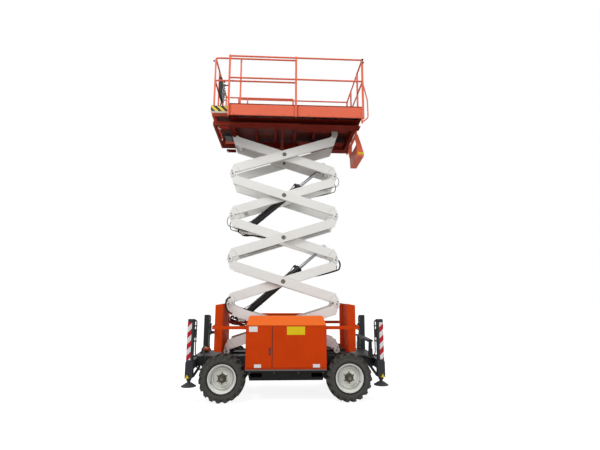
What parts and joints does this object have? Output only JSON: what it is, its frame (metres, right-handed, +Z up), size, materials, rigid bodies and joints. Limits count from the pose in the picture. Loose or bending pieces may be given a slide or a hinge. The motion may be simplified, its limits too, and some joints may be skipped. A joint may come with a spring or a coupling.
{
  "type": "scissor lift",
  "caption": "Rough-terrain scissor lift with a coupled scissor stack, lift cylinders, roll-out platform, steered wheels and levelling jacks.",
  "frame": {"origin": "on the ground under the middle of the machine", "axes": "+Z up, +X towards the rear (entry gate), -X towards the steered axle and roll-out deck, -Y the near side"},
  "size_m": [3.7239, 1.868, 6.711],
  "materials": {
    "arm_paint": "satin",
    "tyre": "matt",
    "rim_paint": "satin",
    "rod_chrome": "polished",
    "cylinder_paint": "satin",
    "platform_underside_paint": "satin",
    "floor_plate": "satin",
    "base_paint": "satin",
    "platform_paint": "satin",
    "engine_paint": "matt",
    "box_plastic": "matt",
    "slider_paint": "satin",
    "chassis_paint": "satin"
  },
  "bodies": {
    "chassis": {"chassis_frame": "chassis_paint", "fork_tray": "chassis_paint", "front_axle": "chassis_paint", "rear_axle": "chassis_paint", "hood_near": "base_paint", "hood_far": "base_paint", "engine_block": "engine_paint", "end_guard_front": "base_paint", "end_guard_rear": "base_paint", "side_rails": "base_paint", "jack_frame_front": "chassis_paint", "jack_frame_rear": "chassis_paint", "rear_step": "chassis_paint"},
    "platform": {"platform_frame": "platform_underside_paint", "platform_floor": "floor_plate", "side_panels": "platform_paint", "guard_rail_near": "platform_paint", "guard_rail_far": "platform_paint", "hanging_step": "platform_paint"},
    "rollout": {"rollout_deck": "platform_paint", "rollout_rails": "platform_paint", "control_box": "box_plastic"},
    "entry_gate": {"entry_gate": "platform_paint"},
    "base_sliders": {"base_sliders": "slider_paint"},
    "platform_sliders": {"platform_sliders": "slider_paint"},
    "arm_a1": {"arm_a1": "arm_paint"},
    "arm_a2": {"arm_a2": "arm_paint"},
    "arm_a3": {"arm_a3": "arm_paint"},
    "arm_a4": {"arm_a4": "arm_paint"},
    "arm_a5": {"arm_a5": "arm_paint"},
    "arm_b1": {"arm_b1": "arm_paint"},
    "arm_b2": {"arm_b2": "arm_paint"},
    "arm_b3": {"arm_b3": "arm_paint"},
    "arm_b4": {"arm_b4": "arm_paint"},
    "arm_b5": {"arm_b5": "arm_paint"},
    "lift_cylinder_lower": {"lift_cylinder_lower": "cylinder_paint"},
    "lift_rod_lower": {"lift_rod_lower": "rod_chrome"},
    "lift_cylinder_upper": {"lift_cylinder_upper": "cylinder_paint"},
    "lift_rod_upper": {"lift_rod_upper": "rod_chrome"},
    "knuckle_near": {"knuckle_near": "chassis_paint"},
    "wheel_front_near": {"tyre_front_near": "tyre", "rim_front_near": "rim_paint"},
    "jack_leg_front_near": {"jack_leg_front_near": "chassis_paint"},
    "hood_door_near_front": {"hood_door_near_front": "base_paint"},
    "wheel_rear_near": {"tyre_rear_near": "tyre", "rim_rear_near": "rim_paint"},
    "jack_leg_rear_near": {"jack_leg_rear_near": "chassis_paint"},
    "hood_door_near_rear": {"hood_door_near_rear": "base_paint"},
    "knuckle_far": {"knuckle_far": "chassis_paint"},
    "wheel_front_far": {"tyre_front_far": "tyre", "rim_front_far": "rim_paint"},
    "jack_leg_front_far": {"jack_leg_front_far": "chassis_paint"},
    "hood_door_far_front": {"hood_door_far_front": "base_paint"},
    "wheel_rear_far": {"tyre_rear_far": "tyre", "rim_rear_far": "rim_paint"},
    "jack_leg_rear_far": {"jack_leg_rear_far": "chassis_paint"},
    "hood_door_far_rear": {"hood_door_far_rear": "base_paint"}
  },
  "joints": [
    {"name": "lift", "type": "hinge", "parent": "chassis", "child": "arm_a1", "pos_m": [-1.1363, 0, 0.835], "axis": [0, -1, 0], "range_deg": [-17.37, 22.5]},
    {"name": "centre_pivot_1", "type": "hinge", "parent": "arm_a1", "child": "arm_b1", "pos_m": [-0.06852, 0, 1.27661], "axis": [0, -1, 0], "range_deg": [-45.01, 34.75]},
    {"name": "side_pivot_1", "type": "hinge", "parent": "arm_a1", "child": "arm_b2", "pos_m": [0.99926, 0, 1.71823], "axis": [0, -1, 0], "range_deg": [-45.01, 34.75]},
    {"name": "centre_pivot_2", "type": "hinge", "parent": "arm_b2", "child": "arm_a2", "pos_m": [-0.06852, 0, 2.15984], "axis": [0, -1, 0], "range_deg": [-34.75, 45.01]},
    {"name": "side_pivot_2", "type": "hinge", "parent": "arm_b2", "child": "arm_a3", "pos_m": [-1.1363, 0, 2.60145], "axis": [0, -1, 0], "range_deg": [-34.75, 45.01]},
    {"name": "centre_pivot_3", "type": "hinge", "parent": "arm_a3", "child": "arm_b3", "pos_m": [-0.06852, 0, 3.04307], "axis": [0, -1, 0], "range_deg": [-45.01, 34.75]},
    {"name": "side_pivot_3", "type": "hinge", "parent": "arm_a3", "child": "arm_b4", "pos_m": [0.99926, 0, 3.48468], "axis": [0, -1, 0], "range_deg": [-45.01, 34.75]},
    {"name": "centre_pivot_4", "type": "hinge", "parent": "arm_b4", "child": "arm_a4", "pos_m": [-0.06852, 0, 3.92629], "axis": [0, -1, 0], "range_deg": [-34.75, 45.01]},
    {"name": "side_pivot_4", "type": "hinge", "parent": "arm_b4", "child": "arm_a5", "pos_m": [-1.1363, 0, 4.3679], "axis": [0, -1, 0], "range_deg": [-34.75, 45.01]},
    {"name": "centre_pivot_5", "type": "hinge", "parent": "arm_a5", "child": "arm_b5", "pos_m": [-0.06852, 0, 4.80952], "axis": [0, -1, 0], "range_deg": [-45.01, 34.75]},
    {"name": "platform_slide_pivot", "type": "hinge", "parent": "arm_a5", "child": "platform_sliders", "pos_m": [0.99926, 0, 5.25113], "axis": [0, -1, 0], "range_deg": [-22.51, 17.38]},
    {"name": "platform_pivot", "type": "hinge", "parent": "arm_b5", "child": "platform", "pos_m": [-1.1363, 0, 5.25113], "axis": [0, -1, 0], "range_deg": [-17.38, 22.51]},
    {"name": "base_slide_pivot", "type": "hinge", "parent": "arm_b1", "child": "base_sliders", "pos_m": [0.99926, 0, 0.835], "axis": [0, -1, 0], "range_deg": [-17.38, 22.51]},
    {"name": "lower_cylinder_pivot", "type": "hinge", "parent": "arm_b1", "child": "lift_cylinder_lower", "pos_m": [-0.88231, 0, 1.45844], "axis": [0, -1, 0], "range_deg": [-33.88, 43.89]},
    {"name": "lower_rod_slide", "type": "slide", "parent": "lift_cylinder_lower", "child": "lift_rod_lower", "axis": [0.7584, 0, 0.6518], "range_m": [-0.4003, 0.5185]},
    {"name": "upper_cylinder_pivot", "type": "hinge", "parent": "arm_b3", "child": "lift_cylinder_upper", "pos_m": [-0.88231, 0, 3.22489], "axis": [0, -1, 0], "range_deg": [-33.88, 43.89]},
    {"name": "upper_rod_slide", "type": "slide", "parent": "lift_cylinder_upper", "child": "lift_rod_upper", "axis": [0.7584, 0, 0.6518], "range_m": [-0.4003, 0.5185]},
    {"name": "steer_near", "type": "hinge", "parent": "chassis", "child": "knuckle_near", "pos_m": [-1.145, -0.65, 0.419], "axis": [0, 0, 1], "range_deg": [-25, 25]},
    {"name": "steer_far", "type": "hinge", "parent": "chassis", "child": "knuckle_far", "pos_m": [-1.145, 0.65, 0.419], "axis": [0, 0, 1], "range_deg": [-25.01, 25.01]},
    {"name": "wheel_front_near_spin", "type": "hinge", "parent": "knuckle_near", "child": "wheel_front_near", "pos_m": [-1.145, -0.74, 0.419], "axis": [0, 1, 0], "continuous": true},
    {"name": "wheel_front_far_spin", "type": "hinge", "parent": "knuckle_far", "child": "wheel_front_far", "pos_m": [-1.145, 0.74, 0.419], "axis": [0, 1, 0], "continuous": true},
    {"name": "wheel_rear_near_spin", "type": "hinge", "parent": "chassis", "child": "wheel_rear_near", "pos_m": [1.145, -0.74, 0.419], "axis": [0, 1, 0], "continuous": true},
    {"name": "wheel_rear_far_spin", "type": "hinge", "parent": "chassis", "child": "wheel_rear_far", "pos_m": [1.145, 0.74, 0.419], "axis": [0, 1, 0], "continuous": true},
    {"name": "jack_front_near", "type": "slide", "parent": "chassis", "child": "jack_leg_front_near", "axis": [0, 0, -1], "range_m": [0, 0.28]},
    {"name": "jack_front_far", "type": "slide", "parent": "chassis", "child": "jack_leg_front_far", "axis": [0, 0, -1], "range_m": [0, 0.28]},
    {"name": "jack_rear_near", "type": "slide", "parent": "chassis", "child": "jack_leg_rear_near", "axis": [0, 0, -1], "range_m": [0, 0.28]},
    {"name": "jack_rear_far", "type": "slide", "parent": "chassis", "child": "jack_leg_rear_far", "axis": [0, 0, -1], "range_m": [0, 0.28]},
    {"name": "hood_door_near_front_hinge", "type": "hinge", "parent": "chassis", "child": "hood_door_near_front", "pos_m": [-0.732, -0.866, 0.97], "axis": [0, 0, -1], "range_deg": [0, 85]},
    {"name": "hood_door_near_rear_hinge", "type": "hinge", "parent": "chassis", "child": "hood_door_near_rear", "pos_m": [0.726, -0.866, 0.97], "axis": [0, 0, 1], "range_deg": [0, 85]},
    {"name": "hood_door_far_front_hinge", "type": "hinge", "parent": "chassis", "child": "hood_door_far_front", "pos_m": [-0.732, 0.866, 0.97], "axis": [0, 0, 1], "range_deg": [0, 85]},
    {"name": "hood_door_far_rear_hinge", "type": "hinge", "parent": "chassis", "child": "hood_door_far_rear", "pos_m": [0.726, 0.866, 0.97], "axis": [0, 0, -1], "range_deg": [0, 85]},
    {"name": "rollout_slide", "type": "slide", "parent": "platform", "child": "rollout", "axis": [-1, 0, 0], "range_m": [0, 1.2]},
    {"name": "entry_gate_hinge", "type": "hinge", "parent": "platform", "child": "entry_gate", "pos_m": [1.508, -0.348, 6.08], "axis": [0, 0, -1], "range_deg": [0, 90]}
  ],
  "couplings": [
    {"joint": "centre_pivot_1", "follows": "lift", "ratio": -2},
    {"joint": "side_pivot_1", "follows": "lift", "ratio": -2},
    {"joint": "centre_pivot_2", "follows": "lift", "ratio": 2},
    {"joint": "side_pivot_2", "follows": "lift", "ratio": 2},
    {"joint": "centre_pivot_3", "follows": "lift", "ratio": -2},
    {"joint": "side_pivot_3", "follows": "lift", "ratio": -2},
    {"joint": "centre_pivot_4", "follows": "lift", "ratio": 2},
    {"joint": "side_pivot_4", "follows": "lift", "ratio": 2},
    {"joint": "centre_pivot_5", "follows": "lift", "ratio": -2},
    {"joint": "platform_slide_pivot", "follows": "lift", "ratio": -1},
    {"joint": "platform_pivot", "follows": "lift", "ratio": 1},
    {"joint": "base_slide_pivot", "follows": "lift", "ratio": 1},
    {"joint": "lower_cylinder_pivot", "follows": "lift", "ratio": 1.95},
    {"joint": "lower_rod_slide", "follows": "lift", "m_per_rad": 1.32},
    {"joint": "upper_cylinder_pivot", "follows": "lift", "ratio": 1.95},
    {"joint": "upper_rod_slide", "follows": "lift", "m_per_rad": 1.32},
    {"joint": "steer_far", "follows": "steer_near", "ratio": 1}
  ]
}
